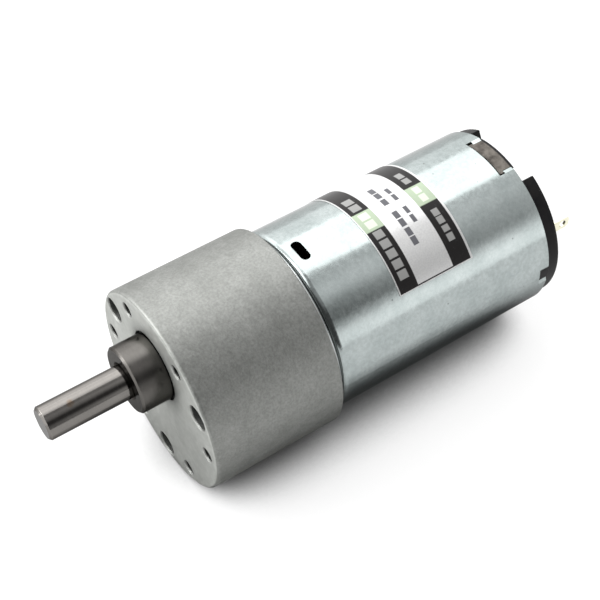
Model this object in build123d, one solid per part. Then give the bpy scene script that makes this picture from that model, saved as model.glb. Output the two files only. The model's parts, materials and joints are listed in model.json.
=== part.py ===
from build123d import *
from math import acos, atan2, cos, degrees, pi, radians, sin, tan
import os

# A round spur-gear reduction motor. The origin is the centre of the gearbox's mounting face, on the
# housing's axis. The output shaft points along -Y, the motor lies along +Y, and +Z is the way the
# output shaft is offset. A station is a distance behind the mounting face, so the front is negative.
# Angles are in degrees, seen from the front, from +X (right) towards +Z (up). Lengths are in mm.

# Gearbox housing
GEARBOX_R = 18.5
GEARBOX_LEN = 24.7
FRONT_WALL = 4.2
CAVITY_R = 16.4
FRONT_EDGE_ROUND = 0.7
REAR_EDGE_ROUND = 0.2
HOLE_CIRCLE_R = 15.5
MOUNT_ANGLES = (0, 60, 120, 180, 240, 300)
TAP_R = 1.25
TAP_DEPTH = 3.5
TAP_CHAMFER = 0.25
SCREW_ANGLES = (30, 150, 270)
PILLAR_R = 2.0
COUNTERBORE_R = 2.2
COUNTERBORE_DEPTH = 3.2
SCREW_CLEAR_R = 1.05
PIN_BOSS_R = 2.4

# Back plate, which closes the gearbox and carries the motor
PLATE_R = 17.2
PLATE_START = 23.6
PLATE_END = 25.5
PLATE_CHAMFER = 0.25

# Assembly screws (M2) and countersunk motor screws (M3)
SCREW_R = 1.0
SCREW_HEAD_R = 2.0
SCREW_HEAD_LEN = 1.2
SCREW_TIP_GAP = 0.2
SCREW_CROSS = (0.5, 2.4, 0.7)
MOTOR_SCREW_R = 1.5
MOTOR_SCREW_HEAD_R = 2.6
MOTOR_SCREW_HEAD_LEN = 1.1
MOTOR_SCREW_CIRCLE_R = 12.5
MOTOR_SCREW_ANGLES = (135, 315)
MOTOR_SCREW_END = 28.4
MOTOR_SCREW_CROSS = (0.6, 2.8, 0.7)

# Output bush and shaft
OUTPUT_OFFSET = 7.0
BUSH_R = 6.0
BUSH_SEAT_R = 5.7
BUSH_PROUD = 5.6
BUSH_CHAMFER = 0.35
BUSH_MOUTH_CHAMFER = 0.5
BUSH_GAP_R = 6.35
BUSH_GAP_DEPTH = 0.6
RUNNING_GAP = 0.03
SHAFT_R = 3.0
SHAFT_TIP = -20.6
SHAFT_CHAMFER = 0.4
SHAFT_SHOULDER = 18.0
JOURNAL_R = 2.0
JOURNAL_END = 25.3
# A groove that throws off oil, just inside the bush's mouth
OIL_GROOVE = (-5.6, -4.9)
OIL_GROOVE_R = 2.75
FLAT_LEN = 12.0
FLAT_DEPTH = 0.5
FLAT_ANGLE = 215.0
WASHER_R = 5.0
WASHER_START = 4.3
WASHER_END = 4.8
CLIP_START = 4.9
CLIP_END = 5.5
CLIP_R = 4.4
CLIP_GROOVE_R = 2.6
CLIP_OPEN_ANGLE = 80.0

# Gear teeth: involute, 25 degree pressure angle. Modules in mm.
PRESSURE = radians(25)
ADDENDUM = 0.95
DEDENDUM = 1.25
BACKLASH = 0.10
FLANK_STEPS = 4
FIRST_MODULE = 0.4
LATER_MODULE = 0.5
PINION_TEETH = 12
FIRST_TEETH = 32
SECOND_TEETH = 26
THIRD_TEETH = 26
OUTPUT_TEETH = 34
GEAR_PIN_R = 1.25
GEAR_PIN_START = 1.8
GEAR_PIN_END = 25.4
PINION_HUB_R = 1.9
PIN_WASHER_R = 2.1

# Where each toothed face starts and ends
MOTOR_PINION_FACE = (20.2, 23.3)
FIRST_WHEEL_FACE = (20.4, 22.6)
FIRST_PINION_FACE = (16.4, 20.4)
SECOND_WHEEL_FACE = (16.6, 19.0)
SECOND_PINION_FACE = (12.3, 16.6)
THIRD_WHEEL_FACE = (12.6, 15.2)
THIRD_PINION_FACE = (7.4, 12.6)
OUTPUT_GEAR_FACE = (7.7, 11.7)
FIRST_PIN_BOSS_END = 7.0
SECOND_PIN_BOSS_END = 11.9
PIN_WASHER_LEN = 0.3
END_PLAY = 0.1

# Motor can
CAN_R = 16.9
CAN_WALL = 1.0
CAN_START = 25.5
CAN_END = 70.2
CAN_SHOULDER_ROUND = 1.35
CAN_INNER_ROUND = 0.6
NOSE_R = 3.8
NOSE_START = 23.8
NOSE_GAP = 0.05
WINDOW_SIZE = (4.5, 1.8)
WINDOW_STATION = 28.8
# Notches in the rear rim, each with its middle angle, half angle and depth
NOTCHES = ((90, 16.5, 3.0), (270, 16.5, 3.0), (0, 6.4, 1.9), (180, 6.4, 1.9))
# Ears of the rim that are bent in over the end cap
EAR_REACH = 1.3
EAR_LEN = 1.8
EAR_LEAN = 25.0

# Motor bearings and rotor shaft
MOTOR_BUSH_R = 3.0
FRONT_BUSH_END = 27.8
REAR_BUSH = (69.0, 73.0)
ROTOR_SHAFT_R = 1.15
ROTOR_SHAFT = (19.8, 74.1)
ROTOR_SHAFT_CHAMFER = 0.25

# Magnets
MAGNET_INNER_R = 11.25
MAGNET_HALF_ANGLE = 66.0
MAGNET_ANGLES = (0, 180)
MAGNET_SPAN = (32.0, 60.0)
CLIP_SPAN = (38.0, 54.0)
CLIP_THICK = 0.5
CLIP_LEG_R = 12.0

# Armature: five poles
POLES = 5
CORE_R = 10.8
CORE_SPAN = (36.0, 56.0)
CORE_HUB_R = 3.6
NECK_WIDTH = 2.4
SHOE_INNER_R = 9.2
SLOT_HALF_ANGLE = 3.3
LINER_THICK = 0.6
COIL_INNER_R = 4.0
COIL_OUTER_R = 8.9
COIL_HALF_ANGLE = 33.5
END_TURN = 1.2

# Commutator
COMM_HUB_R = 3.2
COMM_HUB = (58.2, 66.0)
COMM_BAR_R = 4.0
COMM_BAR = (59.4, 65.8)
COMM_GAP_HALF_ANGLE = 3.0
RISER_R = 5.2
RISER_END = 60.2
RISER_HALF_ANGLE = 9.0
VARISTOR_R = 6.0
VARISTOR = (66.1, 66.9)
ROTOR_WASHER_R = 2.2
ROTOR_SLEEVE_R = 2.0
FRONT_ROTOR_WASHER = (28.0, 28.6)
FRONT_ROTOR_SLEEVE = (28.6, 35.4)
REAR_ROTOR_WASHER = (68.2, 68.8)

# End cap, brushes and terminals
SKIRT_START = 61.0
SKIRT_WALL = 1.4
CAP_FLOOR = (68.0, 70.6)
CAP_RIM_END = 73.1
CAP_RIM_R = 16.35
CAP_RIM_INNER_R = 13.0
CAP_RIM_ANGLES = (-61.5, 65.0)
CAP_RIM_ROUND = 0.45
CAP_LUG_R = 16.6
CAP_LUG_GAP = 0.35
CAP_BOSS_R = 5.2
CAP_BOSS_END = 74.6
CAP_BOSS_BORE_R = 2.2
VENT_CIRCLE_R = 9.4
VENT_SIZE = (6.0, 2.6)
VENT_ANGLES = (45, 135, 225, 315)
BRUSH_SIZE = (2.6, 3.2)
BRUSH_STATION = 63.6
BRUSH_GAP = 0.05
ARM_X = (8.4, 8.7)
ARM_SPAN = (61.8, 69.6)
TERMINAL_X = (8.7, 9.2)
TERMINAL_SPAN = (66.5, 81.8)
TERMINAL_WIDTH = 2.6
TERMINAL_HOLE_R = 0.75
TERMINAL_HOLE_FROM_END = 1.5
TERMINAL_CORNER = 0.6

# Label
LABEL_THICK = 0.12
LABEL_SPAN = (39.7, 55.0)
LABEL_ANGLES = (38.5, 208.5)


# ---------------------------------------------------------------- drawing helpers


def at(station, x=0.0, z=0.0):
    """A drawing plane at a station, seen from the front: X to the right and Z up."""
    return Plane(origin=(x, station, z), x_dir=(1, 0, 0), z_dir=(0, -1, 0))


def prism(outline, start, end, x=0.0, z=0.0):
    """A flat outline made solid from one station to a later one."""
    return extrude(at(end, x, z) * outline, end - start)


def rod(radius, start, end, x=0.0, z=0.0):
    return prism(Circle(radius), start, end, x, z)


def tube(outer, inner, start, end, x=0.0, z=0.0):
    return prism(Circle(outer) - Circle(inner), start, end, x, z)


def cone(front_r, rear_r, start, end, x=0.0, z=0.0):
    """A round solid whose radius changes evenly between two stations."""
    return loft([at(start, x, z) * Circle(front_r), at(end, x, z) * Circle(rear_r)])


def polar(radius, angle):
    return radius * cos(radians(angle)), radius * sin(radians(angle))


def sector(outer, inner, start, end):
    """A flat piece of a ring between two angles."""
    far = CenterArc((0, 0), outer, start, end - start)
    near = CenterArc((0, 0), inner, start, end - start)
    return make_face([far, Line(far @ 1, near @ 1), near, Line(near @ 0, far @ 0)])


def cross(size, start, x=0.0, z=0.0):
    """A cross-shaped driver recess: width, length and depth from a screw's front face."""
    width, length, depth = size
    return prism(Rectangle(width, length) + Rectangle(length, width), start, start + depth, x, z)


def rim_edges(solid, station, radius):
    """The circular edges of one radius that lie at one station."""
    near = 0.001
    circles = solid.edges().filter_by(GeomType.CIRCLE)
    return circles.filter_by(lambda e: abs(e.radius - radius) < near and abs(e.center().Y - station) < near)


def joined(pieces):
    """One solid, or a group of separate solids, from a list of pieces."""
    whole = pieces[0]
    for piece in pieces[1:]:
        whole = whole + piece
    return whole


# ---------------------------------------------------------------- gear train layout


def centre_distance(module, wheel_teeth):
    return module * (PINION_TEETH + wheel_teeth) / 2


def crossing(first, first_r, second, second_r, side):
    """Where two circles cross, on one side of the line between their centres."""
    dx, dz = second[0] - first[0], second[1] - first[1]
    apart = (dx * dx + dz * dz) ** 0.5
    along = (first_r**2 - second_r**2 + apart**2) / (2 * apart)
    off = side * (first_r**2 - along**2) ** 0.5
    return first[0] + (along * dx - off * dz) / apart, first[1] + (along * dz + off * dx) / apart


MOTOR_AXIS = (0.0, 0.0)
OUTPUT_AXIS = (0.0, OUTPUT_OFFSET)
FIRST_CENTRES = centre_distance(FIRST_MODULE, FIRST_TEETH)
SECOND_CENTRES = centre_distance(LATER_MODULE, SECOND_TEETH)
OUTPUT_CENTRES = centre_distance(LATER_MODULE, OUTPUT_TEETH)
# The first pin is one first-stage distance from the motor and one last-stage distance from the output.
FIRST_PIN = crossing(MOTOR_AXIS, FIRST_CENTRES, OUTPUT_AXIS, OUTPUT_CENTRES, -1)
SECOND_PIN_DIRECTION = 215.0
SECOND_PIN = tuple(
    base + step for base, step in zip(FIRST_PIN, polar(SECOND_CENTRES, SECOND_PIN_DIRECTION))
)


def direction(start, end):
    return degrees(atan2(end[1] - start[1], end[0] - start[0]))


def involute(angle):
    return tan(angle) - angle


def gear_outline(teeth, module, tooth_angle):
    """A spur gear's outline with one tooth centred on an angle. Each flank is an involute in short runs."""
    pitch_r = module * teeth / 2
    base_r = pitch_r * cos(PRESSURE)
    tip_r = pitch_r + ADDENDUM * module
    root_r = pitch_r - DEDENDUM * module
    half_tooth = pi / (2 * teeth) - BACKLASH / (4 * pitch_r)
    flank_start = max(base_r, root_r)
    flank = []
    for step in range(FLANK_STEPS + 1):
        radius = flank_start + (tip_r - flank_start) * step / FLANK_STEPS
        flank.append((radius, half_tooth + involute(PRESSURE) - involute(acos(base_r / radius))))
    if root_r < base_r:
        flank.insert(0, (root_r, flank[0][1]))
    points = []
    for tooth in range(teeth):
        middle = tooth_angle + 360 * tooth / teeth
        points += [polar(radius, middle - degrees(spread)) for radius, spread in flank]
        points += [polar(radius, middle + degrees(spread)) for radius, spread in reversed(flank)]
    return make_face(Polyline(*points, close=True))


def wheel_outline(teeth, module, gap_angle):
    """A gear's outline with a gap, rather than a tooth, centred on an angle."""
    return gear_outline(teeth, module, gap_angle + 180 / teeth)


# ---------------------------------------------------------------- gearbox, fixed pieces


def gearbox_housing():
    shell = rod(GEARBOX_R, 0, GEARBOX_LEN)
    shell = fillet(rim_edges(shell, 0, GEARBOX_R), FRONT_EDGE_ROUND)
    shell = fillet(rim_edges(shell, GEARBOX_LEN, GEARBOX_R), REAR_EDGE_ROUND)
    shell -= rod(CAVITY_R, FRONT_WALL, PLATE_START)
    shell -= rod(PLATE_R, PLATE_START, GEARBOX_LEN)
    shell += rod(PIN_BOSS_R, FRONT_WALL, FIRST_PIN_BOSS_END, *FIRST_PIN)
    shell += rod(PIN_BOSS_R, FRONT_WALL, SECOND_PIN_BOSS_END, *SECOND_PIN)
    for angle in SCREW_ANGLES:
        place = polar(HOLE_CIRCLE_R, angle)
        shell += rod(PILLAR_R, FRONT_WALL, PLATE_START, *place)
        shell -= rod(COUNTERBORE_R, 0, COUNTERBORE_DEPTH, *place)
        shell -= rod(SCREW_CLEAR_R, COUNTERBORE_DEPTH, PLATE_START, *place)
    for angle in MOUNT_ANGLES:
        shell -= rod(TAP_R, 0, TAP_DEPTH, *polar(HOLE_CIRCLE_R, angle))
    for pin in (FIRST_PIN, SECOND_PIN):
        shell -= rod(GEAR_PIN_R, GEAR_PIN_START, SECOND_PIN_BOSS_END, *pin)
    shell -= rod(BUSH_SEAT_R, 0, FRONT_WALL, *OUTPUT_AXIS)
    shell -= rod(BUSH_GAP_R, 0, BUSH_GAP_DEPTH, *OUTPUT_AXIS)
    mouths = rim_edges(shell, 0, TAP_R) + rim_edges(shell, 0, COUNTERBORE_R)
    return chamfer(mouths, TAP_CHAMFER)


def output_bush():
    bush = rod(BUSH_R, -BUSH_PROUD, 0, *OUTPUT_AXIS) + rod(BUSH_SEAT_R, 0, FRONT_WALL, *OUTPUT_AXIS)
    bush = chamfer(rim_edges(bush, -BUSH_PROUD, BUSH_R), BUSH_CHAMFER)
    bore_r = SHAFT_R + RUNNING_GAP
    bush -= rod(bore_r, -BUSH_PROUD, FRONT_WALL, *OUTPUT_AXIS)
    return chamfer(rim_edges(bush, -BUSH_PROUD, bore_r), BUSH_MOUTH_CHAMFER)


def back_plate():
    plate = rod(PLATE_R, PLATE_START, PLATE_END)
    plate = chamfer(rim_edges(plate, PLATE_END, PLATE_R), PLATE_CHAMFER)
    plate -= rod(NOSE_R + NOSE_GAP, PLATE_START, PLATE_END)
    plate -= rod(JOURNAL_R + RUNNING_GAP, PLATE_START, PLATE_END, *OUTPUT_AXIS)
    for pin in (FIRST_PIN, SECOND_PIN):
        plate -= rod(GEAR_PIN_R, PLATE_START, PLATE_END, *pin)
    for angle in SCREW_ANGLES:
        plate -= rod(SCREW_R, PLATE_START, PLATE_END, *polar(HOLE_CIRCLE_R, angle))
    for angle in MOTOR_SCREW_ANGLES:
        plate -= motor_screw_body(angle)
    return plate


def assembly_screw(angle):
    place = polar(HOLE_CIRCLE_R, angle)
    head_start = COUNTERBORE_DEPTH - SCREW_HEAD_LEN
    screw = rod(SCREW_HEAD_R, head_start, COUNTERBORE_DEPTH, *place)
    screw += rod(SCREW_R, COUNTERBORE_DEPTH, PLATE_END - SCREW_TIP_GAP, *place)
    return screw - cross(SCREW_CROSS, head_start, *place)


def motor_screw_body(angle):
    place = polar(MOTOR_SCREW_CIRCLE_R, angle)
    head_end = PLATE_START + MOTOR_SCREW_HEAD_LEN
    head = cone(MOTOR_SCREW_HEAD_R, MOTOR_SCREW_R, PLATE_START, head_end, *place)
    return head + rod(MOTOR_SCREW_R, head_end, MOTOR_SCREW_END, *place)


def motor_screw(angle):
    place = polar(MOTOR_SCREW_CIRCLE_R, angle)
    return motor_screw_body(angle) - cross(MOTOR_SCREW_CROSS, PLATE_START, *place)


def gear_pin(place):
    return rod(GEAR_PIN_R, GEAR_PIN_START, GEAR_PIN_END, *place)


def pin_ring(start, end, place):
    """A washer or spacer on a gear pin, with a little play round the pin."""
    return tube(PIN_WASHER_R, GEAR_PIN_R + RUNNING_GAP, start, end, *place)


def pin_washers():
    places = ((FIRST_PIN_BOSS_END, FIRST_PIN), (SECOND_PIN_BOSS_END, SECOND_PIN))
    return joined([pin_ring(start, start + PIN_WASHER_LEN, pin) for start, pin in places])


def pin_spacers():
    between = pin_ring(THIRD_WHEEL_FACE[1] + END_PLAY, FIRST_PINION_FACE[0] - END_PLAY, FIRST_PIN)
    behind_first = pin_ring(FIRST_WHEEL_FACE[1] + END_PLAY, PLATE_START, FIRST_PIN)
    behind_second = pin_ring(SECOND_WHEEL_FACE[1] + END_PLAY, PLATE_START, SECOND_PIN)
    return joined([between, behind_first, behind_second])


# ---------------------------------------------------------------- gearbox, turning pieces


def output_shaft():
    shaft = rod(SHAFT_R, SHAFT_TIP, SHAFT_SHOULDER, *OUTPUT_AXIS)
    shaft = chamfer(rim_edges(shaft, SHAFT_TIP, SHAFT_R), SHAFT_CHAMFER)
    shaft += rod(JOURNAL_R, SHAFT_SHOULDER, JOURNAL_END, *OUTPUT_AXIS)
    shaft -= tube(SHAFT_R, OIL_GROOVE_R, *OIL_GROOVE, *OUTPUT_AXIS)
    shaft -= tube(SHAFT_R, CLIP_GROOVE_R, CLIP_START, CLIP_END, *OUTPUT_AXIS)
    flat = Pos(SHAFT_R - FLAT_DEPTH / 2, 0) * Rectangle(FLAT_DEPTH, 2 * SHAFT_R)
    return shaft - prism(Rot(0, 0, FLAT_ANGLE) * flat, SHAFT_TIP, SHAFT_TIP + FLAT_LEN, *OUTPUT_AXIS)


def output_gear():
    gap = direction(OUTPUT_AXIS, FIRST_PIN)
    outline = wheel_outline(OUTPUT_TEETH, LATER_MODULE, gap) - Circle(SHAFT_R)
    return prism(outline, *OUTPUT_GEAR_FACE, *OUTPUT_AXIS)


def output_washer():
    return tube(WASHER_R, SHAFT_R, WASHER_START, WASHER_END, *OUTPUT_AXIS)


def output_clip():
    half_open = CLIP_OPEN_ANGLE / 2
    ring = sector(CLIP_R, CLIP_GROOVE_R, half_open, 360 - half_open)
    return prism(ring, CLIP_START, CLIP_END, *OUTPUT_AXIS)


def cluster_wheel(teeth, module, face, place, mate):
    """A wheel pressed on its pinion's hub, with a gap facing the pinion that drives it."""
    outline = wheel_outline(teeth, module, direction(place, mate)) - Circle(PINION_HUB_R)
    return prism(outline, *face, *place)


def cluster_pinion(face, wheel_face, place, mate):
    """A pinion with a plain hub for its wheel, and a tooth facing the wheel that it drives."""
    toothed = prism(gear_outline(PINION_TEETH, LATER_MODULE, direction(place, mate)), *face, *place)
    pinion = toothed + rod(PINION_HUB_R, *wheel_face, *place)
    return pinion - rod(GEAR_PIN_R + RUNNING_GAP, face[0], wheel_face[1], *place)


# ---------------------------------------------------------------- motor, fixed pieces


def notch_blocks(gap, outer_r):
    """Blocks that fill the notches in the can's rear rim, drawn in from their edges by a gap."""
    blocks = []
    for angle, half, depth in NOTCHES:
        spread = half - degrees(gap / CAN_R)
        outline = sector(outer_r, CAN_R - 2 * CAN_WALL, angle - spread, angle + spread)
        blocks.append(prism(outline, CAN_END - depth + gap, CAP_FLOOR[1]))
    return joined(blocks)


def ears():
    """The tongues of the rim at both ends of every notch, bent in towards the axis."""
    tongues = []
    for angle, half, _ in NOTCHES:
        for side, corner in ((-1, Align.MIN), (1, Align.MAX)):
            tongue = Box(CAN_WALL, EAR_LEN, EAR_REACH, align=(Align.MAX, Align.MAX, corner))
            bent = Pos(CAN_R, CAN_END, 0) * Rot(0, side * EAR_LEAN, 0) * tongue
            tongues.append(Rot(0, -angle - side * half, 0) * bent)
    return joined(tongues)


def motor_can():
    can = rod(CAN_R, CAN_START, CAN_END)
    can = fillet(rim_edges(can, CAN_START, CAN_R), CAN_SHOULDER_ROUND)
    inner_r = CAN_R - CAN_WALL
    inside = rod(inner_r, CAN_START + CAN_WALL, CAN_END)
    inside = fillet(rim_edges(inside, CAN_START + CAN_WALL, inner_r), CAN_INNER_ROUND)
    can = can - inside + rod(NOSE_R, NOSE_START, CAN_START)
    can -= rod(MOTOR_BUSH_R, NOSE_START, CAN_START + CAN_WALL)
    for angle in MOTOR_SCREW_ANGLES:
        can -= rod(MOTOR_SCREW_R, CAN_START, CAN_START + CAN_WALL, *polar(MOTOR_SCREW_CIRCLE_R, angle))
    can -= Pos(0, WINDOW_STATION, CAN_R - 2 * CAN_WALL) * extrude(SlotOverall(*WINDOW_SIZE), 4 * CAN_WALL)
    return can - notch_blocks(0, CAN_R + CAN_WALL) + ears()


def motor_bush(start, end):
    return tube(MOTOR_BUSH_R, ROTOR_SHAFT_R + RUNNING_GAP, start, end)


def magnet(angle):
    arc = sector(CAN_R - CAN_WALL, MAGNET_INNER_R, angle - MAGNET_HALF_ANGLE, angle + MAGNET_HALF_ANGLE)
    return prism(arc, *MAGNET_SPAN)


def magnet_clip():
    """A bent strip that pushes the two magnets apart at the bottom of the can."""
    outer_r = CAN_R - CAN_WALL
    low = MAGNET_ANGLES[1] + MAGNET_HALF_ANGLE
    high = MAGNET_ANGLES[0] + 360 - MAGNET_HALF_ANGLE
    leg = degrees(CLIP_THICK / outer_r)
    shape = sector(outer_r, outer_r - CLIP_THICK, low, high)
    shape += sector(outer_r, CLIP_LEG_R, low, low + leg)
    shape += sector(outer_r, CLIP_LEG_R, high - leg, high)
    return prism(shape, *CLIP_SPAN)


def mirrored_pair(piece):
    """A piece on the +X side and its twin half a turn away."""
    return piece + Rot(0, 180, 0) * piece


def slab(x_span, station_span, width):
    """A flat strip across the X axis: its thickness in X, its stations and its width in Z."""
    thick = x_span[1] - x_span[0]
    middle = (x_span[0] + x_span[1]) / 2
    return prism(Pos(middle, 0) * Rectangle(thick, width), *station_span)


def end_cap():
    inner_r = CAN_R - CAN_WALL
    cap = rod(inner_r, *CAP_FLOOR) + tube(inner_r, inner_r - SKIRT_WALL, SKIRT_START, CAP_FLOOR[0])
    rim = prism(sector(CAP_RIM_R, CAP_RIM_INNER_R, *CAP_RIM_ANGLES), CAN_END, CAP_RIM_END)
    cap += mirrored_pair(fillet(rim.faces().sort_by(Axis.Y)[-1].edges(), CAP_RIM_ROUND))
    cap += notch_blocks(CAP_LUG_GAP, CAP_LUG_R)
    cap -= ears()
    cap += rod(CAP_BOSS_R, CAP_FLOOR[1], CAP_BOSS_END)
    cap -= rod(MOTOR_BUSH_R, CAP_FLOOR[0], REAR_BUSH[1])
    cap -= rod(CAP_BOSS_BORE_R, REAR_BUSH[1], CAP_BOSS_END)
    for angle in VENT_ANGLES:
        vent = Rot(0, 0, angle) * Pos(VENT_CIRCLE_R, 0) * Rectangle(*VENT_SIZE)
        cap -= prism(vent, *CAP_FLOOR)
    return cap - mirrored_pair(slab((ARM_X[0], TERMINAL_X[1]), CAP_FLOOR, TERMINAL_WIDTH))


def brush():
    width, length = BRUSH_SIZE
    span = (BRUSH_STATION - length / 2, BRUSH_STATION + length / 2)
    return slab((0, ARM_X[0]), span, width) - rod(COMM_BAR_R + BRUSH_GAP, *span)


def brush_arm():
    return slab(ARM_X, ARM_SPAN, TERMINAL_WIDTH)


def terminal():
    blade = slab(TERMINAL_X, TERMINAL_SPAN, TERMINAL_WIDTH)
    corners = blade.edges().filter_by(Axis.X).group_by(Axis.Y)[-1]
    blade = chamfer(corners, TERMINAL_CORNER)
    middle = (TERMINAL_X[0] + TERMINAL_X[1]) / 2
    hole = Pos(middle, TERMINAL_SPAN[1] - TERMINAL_HOLE_FROM_END, 0) * Rot(0, 90, 0)
    return blade - hole * Cylinder(TERMINAL_HOLE_R, TERMINAL_WIDTH)


def label():
    return prism(sector(CAN_R + LABEL_THICK, CAN_R, *LABEL_ANGLES), *LABEL_SPAN)


# ---------------------------------------------------------------- motor, turning pieces


def pole_angles():
    return [90 + 360 * pole / POLES for pole in range(POLES)]


def core_outline():
    shape = Circle(CORE_HUB_R)
    half_shoe = 180 / POLES - SLOT_HALF_ANGLE
    neck_len = SHOE_INNER_R + (CORE_R - SHOE_INNER_R) / 2
    for angle in pole_angles():
        shape += Rot(0, 0, angle) * Pos(neck_len / 2, 0) * Rectangle(neck_len, NECK_WIDTH)
        shape += sector(CORE_R, SHOE_INNER_R, angle - half_shoe, angle + half_shoe)
    return shape - Circle(ROTOR_SHAFT_R)


def rotor_shaft():
    shaft = rod(ROTOR_SHAFT_R, *ROTOR_SHAFT)
    ends = rim_edges(shaft, ROTOR_SHAFT[0], ROTOR_SHAFT_R) + rim_edges(shaft, ROTOR_SHAFT[1], ROTOR_SHAFT_R)
    return chamfer(ends, ROTOR_SHAFT_CHAMFER)


def motor_pinion():
    outline = gear_outline(PINION_TEETH, FIRST_MODULE, direction(MOTOR_AXIS, FIRST_PIN))
    return prism(outline - Circle(ROTOR_SHAFT_R), *MOTOR_PINION_FACE)


def slot_liners():
    """Insulating end discs cut to the core's shape, one on each face of the stack."""
    front = prism(core_outline(), CORE_SPAN[0] - LINER_THICK, CORE_SPAN[0])
    return front + prism(core_outline(), CORE_SPAN[1], CORE_SPAN[1] + LINER_THICK)


def coil(angle):
    """One winding: a block that fills the slots beside a pole's neck and loops over both ends."""
    block = sector(COIL_OUTER_R, COIL_INNER_R, angle - COIL_HALF_ANGLE, angle + COIL_HALF_ANGLE)
    neck = Rot(0, 0, angle) * Pos(COIL_OUTER_R, 0) * Rectangle(2 * COIL_OUTER_R, NECK_WIDTH)
    start = CORE_SPAN[0] - LINER_THICK
    end = CORE_SPAN[1] + LINER_THICK
    return prism(block, start - END_TURN, end + END_TURN) - prism(neck, start, end)


def commutator_bar(angle):
    half = 180 / POLES - COMM_GAP_HALF_ANGLE
    bar = prism(sector(COMM_BAR_R, COMM_HUB_R, angle - half, angle + half), *COMM_BAR)
    hook = sector(RISER_R, COMM_HUB_R, angle - RISER_HALF_ANGLE, angle + RISER_HALF_ANGLE)
    return bar + prism(hook, COMM_BAR[0], RISER_END)


def rotor_washers():
    rings = (FRONT_ROTOR_WASHER, FRONT_ROTOR_SLEEVE, REAR_ROTOR_WASHER)
    widths = (ROTOR_WASHER_R, ROTOR_SLEEVE_R, ROTOR_WASHER_R)
    return [tube(width, ROTOR_SHAFT_R, *ring) for ring, width in zip(rings, widths)]


# ---------------------------------------------------------------- every node

front_washer, rotor_sleeve, rear_washer = rotor_washers()

NODES = {
    "gearbox_housing": gearbox_housing(),
    "output_bush": output_bush(),
    "back_plate": back_plate(),
    "assembly_screws": joined([assembly_screw(angle) for angle in SCREW_ANGLES]),
    "motor_screws": joined([motor_screw(angle) for angle in MOTOR_SCREW_ANGLES]),
    "gear_pins": joined([gear_pin(pin) for pin in (FIRST_PIN, SECOND_PIN)]),
    "pin_washers": pin_washers(),
    "pin_spacers": pin_spacers(),
    "output_shaft": output_shaft(),
    "output_gear": output_gear(),
    "output_washer": output_washer(),
    "output_clip": output_clip(),
    "first_wheel": cluster_wheel(FIRST_TEETH, FIRST_MODULE, FIRST_WHEEL_FACE, FIRST_PIN, MOTOR_AXIS),
    "first_pinion": cluster_pinion(FIRST_PINION_FACE, FIRST_WHEEL_FACE, FIRST_PIN, SECOND_PIN),
    "second_wheel": cluster_wheel(SECOND_TEETH, LATER_MODULE, SECOND_WHEEL_FACE, SECOND_PIN, FIRST_PIN),
    "second_pinion": cluster_pinion(SECOND_PINION_FACE, SECOND_WHEEL_FACE, SECOND_PIN, FIRST_PIN),
    "third_wheel": cluster_wheel(THIRD_TEETH, LATER_MODULE, THIRD_WHEEL_FACE, FIRST_PIN, SECOND_PIN),
    "third_pinion": cluster_pinion(THIRD_PINION_FACE, THIRD_WHEEL_FACE, FIRST_PIN, OUTPUT_AXIS),
    "motor_can": motor_can(),
    "front_bush": motor_bush(NOSE_START, FRONT_BUSH_END),
    "rear_bush": motor_bush(*REAR_BUSH),
    "magnets": joined([magnet(angle) for angle in MAGNET_ANGLES]),
    "magnet_clip": magnet_clip(),
    "end_cap": end_cap(),
    "brushes": mirrored_pair(brush()),
    "brush_arms": mirrored_pair(brush_arm()),
    "terminals": mirrored_pair(terminal()),
    "label": label(),
    "rotor_shaft": rotor_shaft(),
    "motor_pinion": motor_pinion(),
    "armature_core": prism(core_outline(), *CORE_SPAN),
    "slot_liners": slot_liners(),
    "windings": joined([coil(angle) for angle in pole_angles()]),
    "commutator_hub": tube(COMM_HUB_R, ROTOR_SHAFT_R, *COMM_HUB),
    "commutator_bars": joined([commutator_bar(angle) for angle in pole_angles()]),
    "varistor": tube(VARISTOR_R, COMM_HUB_R, *VARISTOR),
    "rotor_washers": front_washer + rear_washer,
    "rotor_sleeve": rotor_sleeve,
}

os.makedirs("parts", exist_ok=True)
for name, solid in NODES.items():
    solid.label = name
    export_step(solid, f"parts/{name}.step")
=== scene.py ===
import json
import math

import bmesh
import bpy
from mathutils import Matrix, Vector

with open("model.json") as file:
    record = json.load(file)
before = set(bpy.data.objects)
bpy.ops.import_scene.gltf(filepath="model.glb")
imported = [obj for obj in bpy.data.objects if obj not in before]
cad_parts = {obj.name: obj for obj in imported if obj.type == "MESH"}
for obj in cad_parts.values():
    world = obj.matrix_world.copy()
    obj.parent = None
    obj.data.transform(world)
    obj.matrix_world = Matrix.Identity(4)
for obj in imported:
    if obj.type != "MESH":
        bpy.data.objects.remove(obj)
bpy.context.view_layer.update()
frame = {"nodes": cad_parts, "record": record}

MM = 0.001

# The camera stands where the photograph was taken from. The turn is in degrees and the lens in mm.
CAMERA_PLACE = (0.12616, -0.05322, 0.18331)
CAMERA_TURN = (40.0135, 0.8506, 56.0662)
CAMERA_LENS = 81.70
SENSOR_WIDTH = 36.0

OUTPUT_AXIS_Z = 7.0 * MM
HOUSING_R = 18.5 * MM
CAN_R = 16.9 * MM
CAN_REAR = 70.2 * MM
JOINT_END = 27 * MM
FLOOR_HALF = 3.0

# The floor's glow as the camera sees it and as it is cast on the object: how open the floor's sky is where
# the glow starts and where it is full, and its full strength. The sky is felt out to the reach.
# the glow fading where the object closes in the floor's sky is a painted shadow
GLOW_REACH = 30 * MM
GLOW_SEEN = (0.255, 0.63, 0.80)
GLOW_CAST = (0.62, 0.97, 0.95)


# ------------------------------------------------------------------ node helpers

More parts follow.
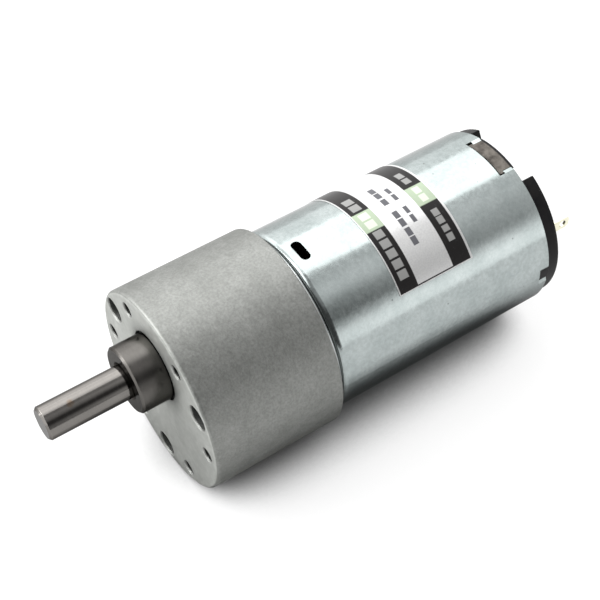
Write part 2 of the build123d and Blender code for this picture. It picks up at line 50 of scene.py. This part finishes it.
class Nodes:
    """A node tree, with short ways to add the nodes used below."""

    def __init__(self, tree, coordinates):
        self.tree = tree
        self.place = self.add("ShaderNodeTexCoord").outputs[coordinates]

    def add(self, kind, settings=None):
        node = self.tree.nodes.new(kind)
        for key, value in (settings or {}).items():
            setattr(node, key, value)
        return node

    def feed(self, socket, value):
        if isinstance(value, bpy.types.NodeSocket):
            self.tree.links.new(value, socket)
        else:
            socket.default_value = value

    def math(self, operation, *values):
        node = self.add("ShaderNodeMath", {"operation": operation})
        for socket, value in zip(node.inputs, values):
            self.feed(socket, value)
        return node.outputs[0]

    def split(self):
        """The place's x, y and z."""
        node = self.add("ShaderNodeSeparateXYZ")
        self.feed(node.inputs[0], self.place)
        return node.outputs

    def spread(self, value, low, high, to_low=0.0, to_high=1.0, smooth=False):
        """value's range low..high mapped to to_low..to_high, clamped."""
        kind = "SMOOTHSTEP" if smooth else "LINEAR"
        node = self.add("ShaderNodeMapRange", {"interpolation_type": kind})
        self.feed(node.inputs["Value"], value)
        node.inputs["From Min"].default_value = low
        node.inputs["From Max"].default_value = high
        node.inputs["To Min"].default_value = to_low
        node.inputs["To Max"].default_value = to_high
        return node.outputs["Result"]


class Shade(Nodes):
    """A material's node tree round its shader."""

    def __init__(self, name):
        self.material = bpy.data.materials.new(name)
        self.material.use_nodes = True
        super().__init__(self.material.node_tree, "Object")
        self.bsdf = self.tree.nodes["Principled BSDF"]
        self.base_normal = None

    def join(self, x, y, z):
        node = self.add("ShaderNodeCombineXYZ")
        for socket, value in zip(node.inputs, (x, y, z)):
            self.feed(socket, value)
        return node.outputs[0]

    def noise(self, size, detail=3.0, roughness=0.55, vector=None):
        """Noise whose features are about size metres across."""
        node = self.add("ShaderNodeTexNoise", {"noise_dimensions": "3D"})
        self.feed(node.inputs["Vector"], vector or self.place)
        node.inputs["Scale"].default_value = 1 / size
        node.inputs["Detail"].default_value = detail
        node.inputs["Roughness"].default_value = roughness
        return node.outputs["Fac"]

    def cells(self, size):
        """Distance from the middles of cells about size metres across, in cell sizes."""
        node = self.add("ShaderNodeTexVoronoi")
        self.feed(node.inputs["Vector"], self.place)
        node.inputs["Scale"].default_value = 1 / size
        return node.outputs["Distance"]

    def gap(self, point):
        """Distance in metres from a point."""
        node = self.add("ShaderNodeVectorMath", {"operation": "DISTANCE"})
        self.feed(node.inputs[0], self.place)
        node.inputs[1].default_value = point
        return node.outputs["Value"]

    def steps(self, value, stops, interpolation="LINEAR"):
        """A colour ramp from (position, colour) stops, where a colour may be one grey number."""
        node = self.add("ShaderNodeValToRGB")
        ramp = node.color_ramp
        ramp.interpolation = interpolation
        while len(ramp.elements) < len(stops):
            ramp.elements.new(1.0)
        for element, (position, colour) in zip(ramp.elements, stops):
            element.position = position
            element.color = (*colour, 1.0) if hasattr(colour, "__len__") else (colour, colour, colour, 1.0)
        self.feed(node.inputs["Fac"], value)
        return node.outputs["Color"]

    def blend(self, share, first, second, mode="MIX"):
        node = self.add("ShaderNodeMix", {"data_type": "RGBA", "blend_type": mode})
        colours = [s for s in node.inputs if s.type == "RGBA"]
        self.feed(node.inputs["Factor"], share)
        for socket, value in zip(colours, (first, second)):
            self.feed(socket, value if isinstance(value, bpy.types.NodeSocket) else (*value, 1.0))
        return [s for s in node.outputs if s.type == "RGBA"][0]

    def lerp(self, share, first, second):
        node = self.add("ShaderNodeMix", {"data_type": "FLOAT"})
        values = [s for s in node.inputs if s.type == "VALUE" and s.name in ("A", "B")]
        self.feed(node.inputs["Factor"], share)
        self.feed(values[0], first)
        self.feed(values[1], second)
        return [s for s in node.outputs if s.type == "VALUE"][0]

    def times(self, colour, factor):
        """The colour multiplied by the factor."""
        return self.blend(1.0, colour, (factor, factor, factor), "MULTIPLY")

    def rounded(self, radius):
        """Rounds off sharp edges in the shading."""
        soft = self.add("ShaderNodeBevel", {"samples": 4})
        soft.inputs["Radius"].default_value = radius
        self.base_normal = soft.outputs["Normal"]

    def edges(self, radius):
        """A mask that is 1 on outer and inner edges and 0 on open faces."""
        wide = self.add("ShaderNodeBevel", {"samples": 4})
        wide.inputs["Radius"].default_value = radius
        plain = self.add("ShaderNodeNewGeometry").outputs["Normal"]
        dot = self.add("ShaderNodeVectorMath", {"operation": "DOT_PRODUCT"})
        self.feed(dot.inputs[0], wide.outputs["Normal"])
        self.feed(dot.inputs[1], plain)
        return self.spread(dot.outputs["Value"], 0.995, 0.85)

    def crevices(self, reach, samples=4):
        """1 in the open, falling towards 0 inside a gap or corner."""
        node = self.add("ShaderNodeAmbientOcclusion", {"samples": samples})
        node.inputs["Distance"].default_value = reach
        return node.outputs["AO"]

    def bump(self, height, depth, strength=1.0):
        """Adds surface relief of about depth metres on top of what is there."""
        node = self.add("ShaderNodeBump")
        node.inputs["Strength"].default_value = strength
        node.inputs["Distance"].default_value = depth
        self.feed(node.inputs["Height"], height)
        if self.base_normal is not None:
            self.feed(node.inputs["Normal"], self.base_normal)
        self.base_normal = node.outputs["Normal"]

    def polar(self, axis_z=0.0):
        """Radius, angle in degrees from +X towards +Z, and station, about an axis along Y."""
        x, y, z = self.split()
        up = self.math("SUBTRACT", z, axis_z)
        squares = self.math("ADD", self.math("MULTIPLY", x, x), self.math("MULTIPLY", up, up))
        angle = self.math("DEGREES", self.math("ARCTAN2", up, x))
        return self.math("SQRT", squares), angle, y

    def done(self, colour, roughness, metallic=0.0, **sockets):
        self.feed(self.bsdf.inputs["Base Color"], colour)
        self.feed(self.bsdf.inputs["Roughness"], roughness)
        self.feed(self.bsdf.inputs["Metallic"], metallic)
        for key, value in sockets.items():
            self.feed(self.bsdf.inputs[key.replace("_", " ")], value)
        if self.base_normal is not None:
            self.feed(self.bsdf.inputs["Normal"], self.base_normal)
        return self.material


# ------------------------------------------------------------------ materials

# how much of a metal's grazing reflection is left
EDGE_TINT = (0.4, 0.4, 0.4, 1.0)
CAN_EDGE_TINT = (0.65, 0.65, 0.65, 1.0)


def scaled(colour, factor, extra=0.0):
    return tuple(min(1.0, c * factor + extra) for c in colour)


def die_cast():
    """Sand-textured die-cast zinc: matte and mottled, worn along its edges, its front face machined."""
    s = Shade("die_cast")
    s.rounded(0.25 * MM)
    _, _, station = s.polar()
    machined = s.spread(station, 0.15 * MM, 0.05 * MM)
    patches = s.noise(5 * MM, 4, 0.6)
    mottle = s.noise(1.1 * MM, 3, 0.6)
    grit = s.noise(0.42 * MM, 2, 0.7)
    skin = [(0.34, (0.204, 0.209, 0.198)), (0.66, (0.274, 0.280, 0.267))]
    tone = s.steps(s.lerp(0.5, patches, mottle), skin)
    light = s.times(tone, 1.07)
    tone = s.blend(s.spread(grit, 0.32, 0.68), s.times(tone, 0.82), light)
    tone = s.blend(machined, tone, s.times(light, 1.6))
    worn = s.math("MULTIPLY", s.edges(0.35 * MM), s.spread(s.noise(0.8 * MM), 0.4, 0.6, 0.2, 0.8))
    tone = s.blend(worn, tone, (0.46, 0.46, 0.445))
    # painted shade: the colour darkens towards near black in gaps and corners
    painted_crevice_shade = s.spread(s.crevices(3.0 * MM), 0.85, 0.42, 0.0, 0.95)
    tone = s.blend(painted_crevice_shade, tone, (0.022, 0.024, 0.022))
    rough = s.lerp(worn, s.spread(mottle, 0.3, 0.7, 0.46, 0.54), 0.36)
    s.bump(s.noise(1.6 * MM, 2), 0.03 * MM, 0.6)
    s.bump(s.math("MULTIPLY", grit, s.spread(machined, 0.0, 1.0, 1.0, 0.3)), 0.05 * MM, 0.8)
    return s.done(tone, rough, 0.82, Specular_Tint=EDGE_TINT)


def plated_can():
    """Bright zinc plate on drawn steel: a cool tint, fine spangle, faint water marks and pits."""
    s = Shade("plated_steel")
    s.rounded(0.12 * MM)
    _, _, station = s.polar()
    clouds = s.noise(5 * MM, 4, 0.65)
    spangle = s.noise(0.7 * MM, 2, 0.6)
    tone = s.steps(clouds, [(0.35, (0.315, 0.352, 0.348)), (0.65, (0.375, 0.412, 0.408))])
    tone = s.blend(s.spread(spangle, 0.35, 0.65), s.times(tone, 0.88), tone)
    pits = s.spread(s.cells(2.6 * MM), 0.075, 0.045)
    chance = s.spread(s.noise(4 * MM, 0), 0.55, 0.6)
    pits = s.math("MULTIPLY", pits, chance)
    tone = s.blend(s.math("MULTIPLY", pits, 0.7), tone, (0.12, 0.13, 0.13))
    # a drying ring beside the label and another near the rear rim: the angle round the can, and the station
    for degrees, ring_station in ((75, 37.0), (17.5, 62.5)):
        turn = math.radians(degrees)
        middle = (CAN_R * math.cos(turn), ring_station * MM, CAN_R * math.sin(turn))
        ring = s.math("ABSOLUTE", s.math("SUBTRACT", s.gap(middle), 1.1 * MM))
        ring = s.spread(ring, 0.32 * MM, 0.1 * MM, 0.0, 0.35)
        tone = s.blend(s.math("MULTIPLY", ring, s.spread(spangle, 0.4, 0.6)), tone, (0.22, 0.25, 0.26))
    # painted shade in the gaps, darkest at the joint with the gearbox, which ends here
    joint = s.spread(station, JOINT_END + 0.5 * MM, JOINT_END - 0.5 * MM, 0.25, 0.95)
    painted_crevice_shade = s.math("MULTIPLY", joint, s.spread(s.crevices(1.0 * MM), 0.85, 0.35))
    tone = s.blend(painted_crevice_shade, tone, (0.015, 0.014, 0.013))
    rough = s.lerp(s.spread(spangle, 0.3, 0.7), 0.12, 0.20)
    s.bump(s.noise(2.6 * MM, 2), 0.02 * MM, 0.6)
    s.bump(spangle, 0.009 * MM, 0.7)
    s.bump(pits, 0.02 * MM, -0.6)
    return s.done(tone, rough, 1.0, Specular_Tint=CAN_EDGE_TINT)


def turned(name, dark, light, roughness, ring, depth, axis_z=0.0, stain=None):
    """Machined round steel: fine rings about the turning axis."""
    s = Shade(name)
    s.rounded(0.1 * MM)
    radius, angle, station = s.polar(axis_z)
    lathe = s.join(radius, station, s.math("MULTIPLY", angle, 0.004 * MM))
    fine = s.noise(ring, 2, 0.7, vector=lathe)
    broad = s.noise(ring * 9, 2, 0.6, vector=lathe)
    clouds = s.noise(2.5 * MM, 3, 0.6)
    tone = s.steps(s.lerp(0.5, fine, clouds), [(0.25, dark), (0.75, light)])
    worn = s.edges(0.16 * MM)
    tone = s.blend(s.math("MULTIPLY", worn, 0.55), tone, scaled(light, 1.5))
    if stain:
        ragged = s.math("ADD", s.gap(stain), s.math("MULTIPLY", s.noise(0.5 * MM), 1.0 * MM))
        spot = s.spread(ragged, 1.25 * MM, 0.8 * MM)
        tone = s.blend(s.math("MULTIPLY", spot, 0.6), tone, (0.13, 0.085, 0.05))
    # painted shade: the colour darkens in gaps and corners
    tone = s.blend(s.spread(s.crevices(0.7 * MM), 0.85, 0.25, 0.0, 0.8), tone, (0.03, 0.028, 0.026))
    rough = s.spread(broad, 0.3, 0.7, roughness - 0.04, roughness + 0.05)
    rough = s.math("ADD", rough, s.math("MULTIPLY", worn, -0.05))
    s.bump(fine, depth, 0.8)
    s.bump(broad, depth, 0.4)
    tangent = s.add("ShaderNodeTangent", {"direction_type": "RADIAL", "axis": "Y"})
    s.feed(s.bsdf.inputs["Tangent"], tangent.outputs[0])
    return s.done(tone, rough, 1.0, Anisotropic=0.4, Specular_Tint=EDGE_TINT)


def sheet_metal(name, dark, light, roughness, tarnish=(0.2, 0.16, 0.1)):
    """Flat or stamped metal: cloudy, faintly scratched, rubbed bright along the edges."""
    s = Shade(name)
    s.rounded(0.08 * MM)
    x, y, z = s.split()
    clouds = s.noise(3.2 * MM, 4, 0.6)
    fine = s.noise(0.32 * MM, 2, 0.6)
    scratches = s.noise(0.35 * MM, 2, 0.6, vector=s.join(x, s.math("MULTIPLY", y, 0.06), z))
    tone = s.steps(s.lerp(0.4, clouds, fine), [(0.3, dark), (0.7, light)])
    tone = s.blend(s.spread(clouds, 0.5, 0.75, 0.0, 0.25), tone, tarnish)
    tone = s.blend(s.math("MULTIPLY", s.edges(0.12 * MM), 0.4), tone, scaled(light, 1.35))
    # painted shade: the colour darkens in gaps and corners
    tone = s.blend(s.spread(s.crevices(0.5 * MM), 0.8, 0.2, 0.0, 0.6), tone, scaled(dark, 0.2))
    rough = s.spread(clouds, 0.3, 0.7, roughness - 0.04, roughness + 0.07)
    rough = s.math("ADD", rough, s.spread(scratches, 0.6, 0.75, 0.0, 0.1))
    s.bump(scratches, 0.004 * MM, 0.6)
    s.bump(fine, 0.004 * MM, 0.6)
    return s.done(tone, rough, 1.0)


def sintered(name, dark, light):
    """Pressed powder metal, oiled: tiny open pores in a smooth skin."""
    s = Shade(name)
    s.rounded(0.06 * MM)
    pores = s.spread(s.cells(0.22 * MM), 0.30, 0.12)
    clouds = s.noise(1.8 * MM, 3, 0.6)
    tone = s.steps(clouds, [(0.3, dark), (0.7, light)])
    tone = s.blend(s.math("MULTIPLY", pores, 0.6), tone, scaled(dark, 0.35))
    tone = s.blend(s.math("MULTIPLY", s.edges(0.08 * MM), 0.5), tone, scaled(light, 1.4))
    rough = s.spread(clouds, 0.3, 0.7, 0.34, 0.48)
    s.bump(pores, 0.012 * MM, -0.7)
    return s.done(tone, rough, 0.95, Coat_Weight=0.15, Coat_Roughness=0.25)


def plastic(name, dark, light, roughness, grain=0.18 * MM, depth=0.008 * MM, **sockets):
    """Moulded or pressed and not metallic: a fine even grain, paler along its edges."""
    s = Shade(name)
    s.rounded(0.12 * MM)
    clouds = s.noise(3.5 * MM, 3, 0.6)
    fine = s.noise(grain, 2, 0.6)
    tone = s.steps(clouds, [(0.3, dark), (0.7, light)])
    tone = s.blend(s.math("MULTIPLY", s.edges(0.15 * MM), 0.35), tone, scaled(light, 2.0, 0.01))
    broad_rough = s.spread(clouds, 0.3, 0.7, roughness - 0.06, roughness + 0.06)
    rough = s.lerp(0.5, broad_rough, s.spread(fine, 0.3, 0.7, roughness - 0.05, roughness + 0.05))
    s.bump(fine, depth, 0.7)
    return s.done(tone, rough, 0.0, **sockets)


def cap_plastic():
    """Black moulded plastic, left dusty and brown where it shows inside the can's rim."""
    s = Shade("cap_plastic")
    s.rounded(0.12 * MM)
    _, angle, station = s.polar()
    clouds = s.noise(1.4 * MM, 3, 0.6)
    fine = s.noise(0.18 * MM, 2, 0.6)
    black = s.steps(clouds, [(0.3, (0.006, 0.006, 0.007)), (0.7, (0.012, 0.011, 0.011))])
    dust = s.steps(clouds, [(0.3, (0.05, 0.044, 0.038)), (0.7, (0.16, 0.145, 0.128))])
    away = s.math("ABSOLUTE", s.math("SUBTRACT", s.math("ABSOLUTE", angle), 90.0))
    in_rim = s.spread(station, CAN_REAR, CAN_REAR - 0.2 * MM)
    dusty = s.math("MULTIPLY", in_rim, s.spread(away, 35.0, 28.0))
    tone = s.blend(dusty, black, dust)
    tone = s.blend(s.math("MULTIPLY", s.edges(0.15 * MM), 0.3), tone, (0.045, 0.045, 0.045))
    rough = s.lerp(0.5, s.spread(clouds, 0.3, 0.7, 0.42, 0.54), s.spread(fine, 0.3, 0.7, 0.42, 0.52))
    s.bump(clouds, 0.02 * MM, 0.5)
    s.bump(fine, 0.008 * MM, 0.7)
    return s.done(tone, rough, 0.0, Specular_IOR_Level=0.1)


def laminated():
    """Stacked steel sheets 0.5 mm thick, seen on edge as fine rings, under thin lacquer."""
    s = Shade("lamination")
    _, y, _ = s.split()
    wave = s.math("SINE", s.math("MULTIPLY", y, 2 * math.pi / (0.5 * MM)))
    joint = s.spread(wave, -0.95, -0.6, 0.0, 1.0)
    clouds = s.noise(1.6 * MM, 3, 0.6)
    tone = s.steps(clouds, [(0.3, (0.30, 0.30, 0.30)), (0.7, (0.42, 0.42, 0.41))])
    tone = s.blend(joint, (0.07, 0.065, 0.06), tone)
    s.bump(joint, 0.04 * MM, 0.8)
    return s.done(tone, s.spread(clouds, 0.3, 0.7, 0.34, 0.5), 1.0)


def wound_wire():
    """Enamelled copper wire about 0.3 mm thick, in turns along the armature."""
    s = Shade("copper_wire")
    radius, angle, _ = s.polar()
    turns = s.math("SINE", s.math("MULTIPLY", radius, 2 * math.pi / (0.32 * MM)))
    wobble = s.noise(0.9 * MM, 2)
    across = s.math("SINE", s.math("ADD", s.math("MULTIPLY", angle, 1.35), s.math("MULTIPLY", wobble, 4.0)))
    height = s.math("MAXIMUM", turns, s.math("MULTIPLY", across, 0.8))
    groove = s.spread(height, -0.2, 0.9)
    tone = s.blend(groove, (0.10, 0.03, 0.012), (0.66, 0.27, 0.11))
    s.bump(groove, 0.12 * MM, 0.8)
    return s.done(tone, s.spread(wobble, 0.3, 0.7, 0.22, 0.34), 0.85, Coat_Weight=0.6, Coat_Roughness=0.12)


# The label, in degrees round the can from +X towards +Z ...
FILM = (38.5, 208.5)
PRINT = (39.1, 207.9)
GREEN_BLOCK = (79.2, 94.3)
BORDER_LINE = 0.8
BAR_GAP = 1.2
# ... and in mm behind the mounting face.
PANEL = (39.9, 54.6)
FRONT_BAND = (39.9, 43.55)
REAR_BAND = (50.9, 54.6)


def label_film():
    """A printed film: two dark bands, each with one pale-green block, round a silver-white panel.

    The print is plain bars where a maker would put words.
    """
    s = Shade("label_film")
    _, angle, station = s.polar()
    across = s.math("DIVIDE", station, MM)
    turn = s.math("MODULO", s.math("ADD", angle, 360.0), 360.0)
    along = s.spread(turn, *FILM)
    film_length = FILM[1] - FILM[0]

    def between(value, low, high, blur):
        inside = s.spread(value, low - blur, low + blur)
        return s.math("MULTIPLY", inside, s.spread(value, high + blur, high - blur))

    def bars(low, high, *runs):
        """Even bars between two stations. A run is its two end angles and the number of its bars."""
        stops = [(0.0, 0.0)]
        for start, end, count in runs:
            pitch = (end - start + BAR_GAP) / count
            for index in range(count):
                first = start + index * pitch
                for edge, level in ((first, 1.0), (first + pitch - BAR_GAP, 0.0)):
                    stops.append(((edge - FILM[0]) / film_length, level))
        pattern = s.steps(along, stops, "CONSTANT")
        return s.math("MULTIPLY", pattern, between(across, low, high, 0.06))

    def border(start):
        """The thin line across the panel at one end of the print."""
        line = between(turn, start, start + BORDER_LINE, 0.12)
        return s.math("MULTIPLY", line, between(across, *PANEL, 0.05))

    bands = s.math("MAXIMUM", between(across, *FRONT_BAND, 0.05), between(across, *REAR_BAND, 0.05))
    printed = s.math("MULTIPLY", bands, between(turn, *PRINT, 0.12))
    lines = s.math("MAXIMUM", border(PRINT[0]), border(PRINT[1] - BORDER_LINE))
    ink = s.math("MAXIMUM", printed, lines)
    green = s.math("MULTIPLY", printed, between(turn, *GREEN_BLOCK, 0.3))
    pale = s.math("MAXIMUM",
                  bars(40.8, 42.6, (46, 78, 5), (96, 109, 2), (150, 190, 3)),
                  bars(52.1, 53.4, (53, 74, 4), (97, 110, 2), (150, 190, 3)))
    faint = s.math("MAXIMUM", bars(40.8, 42.6, (80.5, 92.5, 2)), bars(52.1, 53.4, (80.5, 92.5, 2)))
    grey = s.math("MAXIMUM",
                  bars(46.0, 47.1, (60, 84, 4), (90, 108, 3), (150, 190, 3)),
                  bars(48.3, 49.1, (72, 84, 2), (90, 102, 2), (150, 190, 3)))
    sheen = s.noise(0.25 * MM, 1, 0.5)
    film = s.blend(s.spread(sheen, 0.3, 0.7), (0.50, 0.50, 0.50), (0.57, 0.57, 0.565))
    film = s.blend(grey, film, (0.10, 0.10, 0.11))
    speck = s.spread(s.noise(0.6 * MM, 3), 0.62, 0.72, 0.0, 0.15)
    black = s.blend(speck, (0.012, 0.011, 0.011), (0.09, 0.09, 0.09))
    black = s.blend(pale, black, (0.24, 0.24, 0.235))
    tone = s.blend(ink, film, black)
    tint = s.blend(faint, (0.35, 0.42, 0.31), (0.56, 0.61, 0.51))
    tone = s.blend(green, tone, tint)
    s.bump(s.noise(3.0 * MM, 1), 0.004 * MM, 0.5)
    s.bump(sheen, 0.002 * MM, 0.5)
    silver = s.lerp(s.math("MAXIMUM", ink, grey), 0.55, 0.0)
    rough = s.lerp(ink, 0.30, 0.34)
    return s.done(tone, rough, silver, Specular_IOR_Level=0.12)


def floor_card():
    """A pale light table that glows, its glow dimmed by a painted shadow where the object stands close over
    it.
    The camera sees the glow strong enough for the table to come out white, and near the object the glow that
    the table throws back onto the object is weaker, under a wider painted shadow."""
    s = Shade("floor_card")
    fibre = s.noise(1.5 * MM, 3, 0.6)
    tone = s.steps(fibre, [(0.3, (0.195, 0.195, 0.195)), (0.7, (0.21, 0.21, 0.21))])
    sky = s.crevices(GLOW_REACH, 24)
    seen, cast = (
        s.spread(sky, start, full, 0.0, glow, smooth=True) for start, full, glow in (GLOW_SEEN, GLOW_CAST)
    )
    path = s.add("ShaderNodeLightPath")
    s.feed(s.bsdf.inputs["Emission Strength"], s.lerp(path.outputs["Is Camera Ray"], cast, seen))
    s.bsdf.inputs["Emission Color"].default_value = (1.0, 1.0, 1.0, 1.0)
    s.bump(fibre, 0.01 * MM, 0.2)
    return s.done(tone, s.spread(fibre, 0.3, 0.7, 0.85, 0.95), 0.0)


# a small brown spot on the output shaft's upper side
STAIN = (0.9 * MM, -15.5 * MM, OUTPUT_AXIS_Z + 2.85 * MM)


def made(maker, rows, **sockets):
    """One material for each row, which is its name and then what the maker takes."""
    return {name: maker(name, *values, **sockets) for name, *values in rows}


FINISHES = {
    "die_cast": die_cast(),
    "plated_steel": plated_can(),
    "cap_plastic": cap_plastic(),
    "lamination": laminated(),
    "copper_wire": wound_wire(),
    "label_film": label_film(),
}
# name, dark tone, light tone, roughness, ring width, ring depth, then where the axis is and a stain
FINISHES |= made(turned, (
    ("bearing_steel", (0.078, 0.074, 0.069), (0.116, 0.111, 0.104), 0.22, 0.12 * MM, 0.004 * MM,
     OUTPUT_AXIS_Z),
    ("shaft_steel", (0.145, 0.137, 0.129), (0.186, 0.177, 0.167), 0.11, 0.07 * MM, 0.0015 * MM,
     OUTPUT_AXIS_Z, STAIN),
    ("pin_steel", (0.52, 0.52, 0.52), (0.64, 0.64, 0.64), 0.2, 0.07 * MM, 0.0015 * MM),
))
# name, dark tone, light tone, roughness, and the tarnish where it isn't the usual brown
FINISHES |= made(sheet_metal, (
    ("plate_steel", (0.55, 0.57, 0.57), (0.66, 0.68, 0.68), 0.28, (0.45, 0.43, 0.38)),
    ("screw_steel", (0.10, 0.10, 0.105), (0.17, 0.17, 0.175), 0.35, (0.08, 0.07, 0.06)),
    ("spring_steel", (0.26, 0.29, 0.36), (0.38, 0.40, 0.46), 0.25),
    ("gear_brass", (0.62, 0.45, 0.20), (0.76, 0.58, 0.29), 0.27),
    ("copper_alloy", (0.60, 0.34, 0.20), (0.74, 0.46, 0.30), 0.28),
    ("tinned_brass", (0.70, 0.68, 0.52), (0.82, 0.80, 0.64), 0.3, (0.55, 0.48, 0.28)),
))
# name, dark tone, light tone
FINISHES |= made(sintered, (
    ("gear_steel", (0.33, 0.32, 0.31), (0.46, 0.45, 0.44)),
    ("bronze", (0.42, 0.27, 0.13), (0.58, 0.40, 0.21)),
))
# name, dark tone, light tone, roughness, and grain size and depth where they aren't the usual ones
FINISHES |= made(plastic, (
    ("ferrite", (0.12, 0.12, 0.125), (0.19, 0.19, 0.195), 0.45, 0.4 * MM, 0.02 * MM),
    ("carbon", (0.02, 0.02, 0.02), (0.05, 0.05, 0.05), 0.5, 0.25 * MM, 0.02 * MM),
    ("insulator", (0.14, 0.26, 0.16), (0.20, 0.34, 0.21), 0.6, 0.3 * MM, 0.02 * MM),
    ("phenolic", (0.16, 0.06, 0.03), (0.24, 0.10, 0.05), 0.4),
    ("ceramic", (0.09, 0.09, 0.095), (0.14, 0.14, 0.15), 0.6, 0.2 * MM, 0.01 * MM),
))
FINISHES |= made(plastic, (
    ("washer_nylon", (0.76, 0.75, 0.68), (0.86, 0.85, 0.79), 0.5),
), Subsurface_Weight=0.2, Subsurface_Scale=0.5 * MM)

for part in frame["record"]["subparts"]:
    for slot in frame["nodes"][part["node"]].material_slots:
        slot.material = FINISHES[part["material_slot"]]


# ------------------------------------------------------------------ floor, light and camera

def make_floor():
    mesh = bpy.data.meshes.new("floor")
    shape = bmesh.new()
    bmesh.ops.create_grid(shape, x_segments=8, y_segments=8, size=FLOOR_HALF)
    shape.to_mesh(mesh)
    shape.free()
    floor = bpy.data.objects.new("floor", mesh)
    floor.location = (0, 0, -HOUSING_R)
    mesh.materials.append(floor_card())
    bpy.context.scene.collection.objects.link(floor)


# The studio round the object is a dim room with soft-edged bright cards in it. All angles are in degrees.
# A card's place is given by two bearings, from +X towards +Y, and two heights above the horizon. Its edge is
# how far it takes to fade out.
ROOM_TONE = 0.1
CARDS = (
    # the long window behind and to the left, its brightest pane, the high key light on the left and the
    # ceiling behind the object
    {"bearings": (155, 280), "heights": (-20, 24), "edge": 24, "level": 2.0},
    {"bearings": (175, 215), "heights": (18, 26), "edge": 15, "level": 1.1},
    {"bearings": (225, 262), "heights": (46, 60), "edge": 26, "level": 3.6},
    {"bearings": (115, 170), "heights": (46, 60), "edge": 24, "level": 1.6},
    # the white wall on the right, the doorway to the right of the camera and the rest of the ceiling
    {"bearings": (43, 95), "heights": (35, 58), "edge": 26, "level": 0.75},
    {"bearings": (27, 31), "heights": (-20, 9), "edge": 24, "level": 2.0},
    {"bearings": (-180, 180), "heights": (62, 90), "edge": 20, "level": 0.4},
)


def make_world():
    """The room tone with the cards added to it."""
    world = bpy.data.worlds.new("studio")
    bpy.context.scene.world = world
    world.use_nodes = True
    sky = Nodes(world.node_tree, "Generated")
    x, y, z = sky.split()
    height = sky.math("DEGREES", sky.math("ARCSINE", z))
    bearing = sky.math("DEGREES", sky.math("ARCTAN2", y, x))

    def inside(angle, low, high, edge):
        """One between the two angles, falling smoothly to nothing over the edge outside them."""
        middle, reach = (low + high) / 2, (high - low) / 2
        away = sky.math("WRAP", sky.math("SUBTRACT", angle, middle), 180.0, -180.0)
        return sky.spread(sky.math("ABSOLUTE", away), reach, reach + edge, 1.0, 0.0, smooth=True)

    brightness = ROOM_TONE
    for card in CARDS:
        across = inside(bearing, *card["bearings"], card["edge"])
        upright = inside(height, *card["heights"], card["edge"])
        share = sky.math("MULTIPLY", across, upright)
        brightness = sky.math("MULTIPLY_ADD", share, card["level"], brightness)
    background = sky.tree.nodes["Background"]
    background.inputs["Color"].default_value = (1.0, 1.0, 1.0, 1.0)
    sky.feed(background.inputs["Strength"], brightness)


# where the softboxes aim, near the object's middle
AIM = Vector((0, 30 * MM, 0))


def softbox(name, towards, distance, across, along, power):
    """A rectangular light aimed at AIM, turned so that its second size lies as near to Y as it can."""
    light = bpy.data.lights.new(name, "AREA")
    light.shape = "RECTANGLE"
    light.size = across
    light.size_y = along
    light.energy = power
    lamp = bpy.data.objects.new(name, light)
    back = Vector(towards).normalized()
    lamp.location = AIM + back * distance
    side = Vector((0, 1, 0)).cross(back).normalized()
    up = back.cross(side)
    lamp.rotation_euler = Matrix((side, up, back)).transposed().to_euler()
    bpy.context.scene.collection.objects.link(lamp)


def make_camera():
    data = bpy.data.cameras.new("camera")
    data.lens = CAMERA_LENS
    data.sensor_width = SENSOR_WIDTH
    data.clip_start = 0.01
    camera = bpy.data.objects.new("camera", data)
    camera.location = CAMERA_PLACE
    camera.rotation_euler = [math.radians(a) for a in CAMERA_TURN]
    bpy.context.scene.collection.objects.link(camera)
    bpy.context.scene.camera = camera


make_floor()
make_world()
softbox("overhead", (-0.48, 0.35, 0.80), distance=0.55, across=0.50, along=0.90, power=1.9)
softbox("front", (-0.55, -0.75, 0.55), distance=0.60, across=0.35, along=0.35, power=2.4)
make_camera()
bpy.context.scene.view_settings.view_transform = "Standard"
